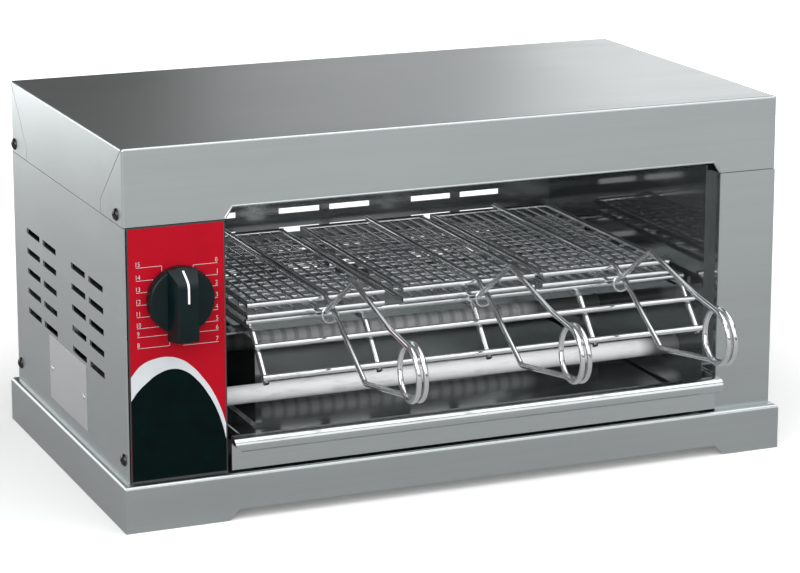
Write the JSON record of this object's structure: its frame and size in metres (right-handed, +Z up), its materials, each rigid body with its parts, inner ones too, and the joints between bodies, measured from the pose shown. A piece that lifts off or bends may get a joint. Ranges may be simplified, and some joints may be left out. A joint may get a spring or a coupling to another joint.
{
  "type": "quartz toaster",
  "caption": "Counter-top quartz toaster in stainless steel with wire tongs, crumb tray and timer knob",
  "frame": {"origin": "middle of the body's footprint, on the counter", "axes": "+Z up, -Y to the front where the tongs come out, +X to the right of a person who faces the front"},
  "size_m": [0.458, 0.4047, 0.24],
  "materials": {
    "brushed_steel": "brushed stainless sheet",
    "polished_steel": "bright annealed stainless sheet",
    "chromed_wire": "chromed steel wire",
    "quartz": "frosted quartz glass",
    "filament": "bare resistance wire",
    "ceramic": "unglazed steatite",
    "fascia": "printed sheet, red with a black and white arch",
    "knob_plastic": "black plastic",
    "pointer": "white line",
    "plate": "bare plate",
    "screws": "plated steel",
    "timer_case": "moulded case",
    "gland": "black nylon",
    "block": "white nylon"
  },
  "bodies": {
    "base": {"base_tray": "brushed_steel", "left_side_panel": "brushed_steel", "right_side_panel": "brushed_steel", "back_panel": "brushed_steel", "top_cover": "brushed_steel", "control_panel": "brushed_steel", "right_column": "brushed_steel", "chamber_left_wall": "polished_steel", "chamber_right_wall": "polished_steel", "left_heat_shield": "polished_steel", "upper_reflector": "polished_steel", "tray_runners": "polished_steel", "rack_supports": "polished_steel", "rack_depth_bar_1": "chromed_wire", "rack_depth_bar_2": "chromed_wire", "rack_depth_bar_3": "chromed_wire", "rack_depth_bar_4": "chromed_wire", "rack_depth_bar_5": "chromed_wire", "rack_front_bar": "chromed_wire", "rack_rear_bar": "chromed_wire", "rack_guard_upper_bar": "chromed_wire", "rack_guard_lower_bar": "chromed_wire", "lower_front_tube": "quartz", "lower_rear_tube": "quartz", "upper_front_tube": "quartz", "upper_rear_tube": "quartz", "lower_front_filament": "filament", "lower_rear_filament": "filament", "upper_front_filament": "filament", "upper_rear_filament": "filament", "lower_front_caps": "ceramic", "lower_rear_caps": "ceramic", "upper_front_caps": "ceramic", "upper_rear_caps": "ceramic", "fascia_label": "fascia", "rating_plate": "plate", "side_screws": "screws", "plate_rivets": "screws", "timer_nut": "screws", "timer_body": "timer_case", "cable_gland": "gland", "gland_nut": "gland", "terminal_block": "block"},
    "tray": {"crumb_tray": "polished_steel"},
    "knob": {"knob": "knob_plastic", "knob_pointer": "pointer", "timer_shaft": "screws"},
    "tong_1": {"tong_1_lower_grid": "chromed_wire", "tong_1_spring_handle": "chromed_wire"},
    "tong_1_jaw": {"tong_1_upper_grid": "chromed_wire", "tong_1_handle_arm": "chromed_wire"},
    "tong_2": {"tong_2_lower_grid": "chromed_wire", "tong_2_spring_handle": "chromed_wire"},
    "tong_2_jaw": {"tong_2_upper_grid": "chromed_wire", "tong_2_handle_arm": "chromed_wire"},
    "tong_3": {"tong_3_lower_grid": "chromed_wire", "tong_3_spring_handle": "chromed_wire"},
    "tong_3_jaw": {"tong_3_upper_grid": "chromed_wire", "tong_3_handle_arm": "chromed_wire"}
  },
  "joints": [
    {"name": "knob_turn", "type": "hinge", "parent": "base", "child": "knob", "pos_m": [-0.1908, -0.125, 0.145], "axis": [0, 1, 0], "range_deg": [0, 330]},
    {"name": "tray_slide", "type": "slide", "parent": "base", "child": "tray", "axis": [0, -1, 0], "range_m": [0, 0.2]},
    {"name": "tong_1_slide", "type": "slide", "parent": "base", "child": "tong_1", "axis": [0, -1, 0], "range_m": [0, 0.22]},
    {"name": "tong_1_squeeze", "type": "hinge", "parent": "tong_1", "child": "tong_1_jaw", "pos_m": [-0.09, -0.247, 0.1187], "axis": [1, 0, 0], "range_deg": [0, 9], "stiffness_Nm_per_rad": 1.2, "springref_deg": -11.46},
    {"name": "tong_2_slide", "type": "slide", "parent": "base", "child": "tong_2", "axis": [0, -1, 0], "range_m": [0, 0.22]},
    {"name": "tong_2_squeeze", "type": "hinge", "parent": "tong_2", "child": "tong_2_jaw", "pos_m": [0.016, -0.247, 0.1187], "axis": [1, 0, 0], "range_deg": [0, 9], "stiffness_Nm_per_rad": 1.2, "springref_deg": -11.46},
    {"name": "tong_3_slide", "type": "slide", "parent": "base", "child": "tong_3", "axis": [0, -1, 0], "range_m": [0, 0.22]},
    {"name": "tong_3_squeeze", "type": "hinge", "parent": "tong_3", "child": "tong_3_jaw", "pos_m": [0.115, -0.247, 0.1187], "axis": [1, 0, 0], "range_deg": [0, 9], "stiffness_Nm_per_rad": 1.2, "springref_deg": -11.46}
  ]
}
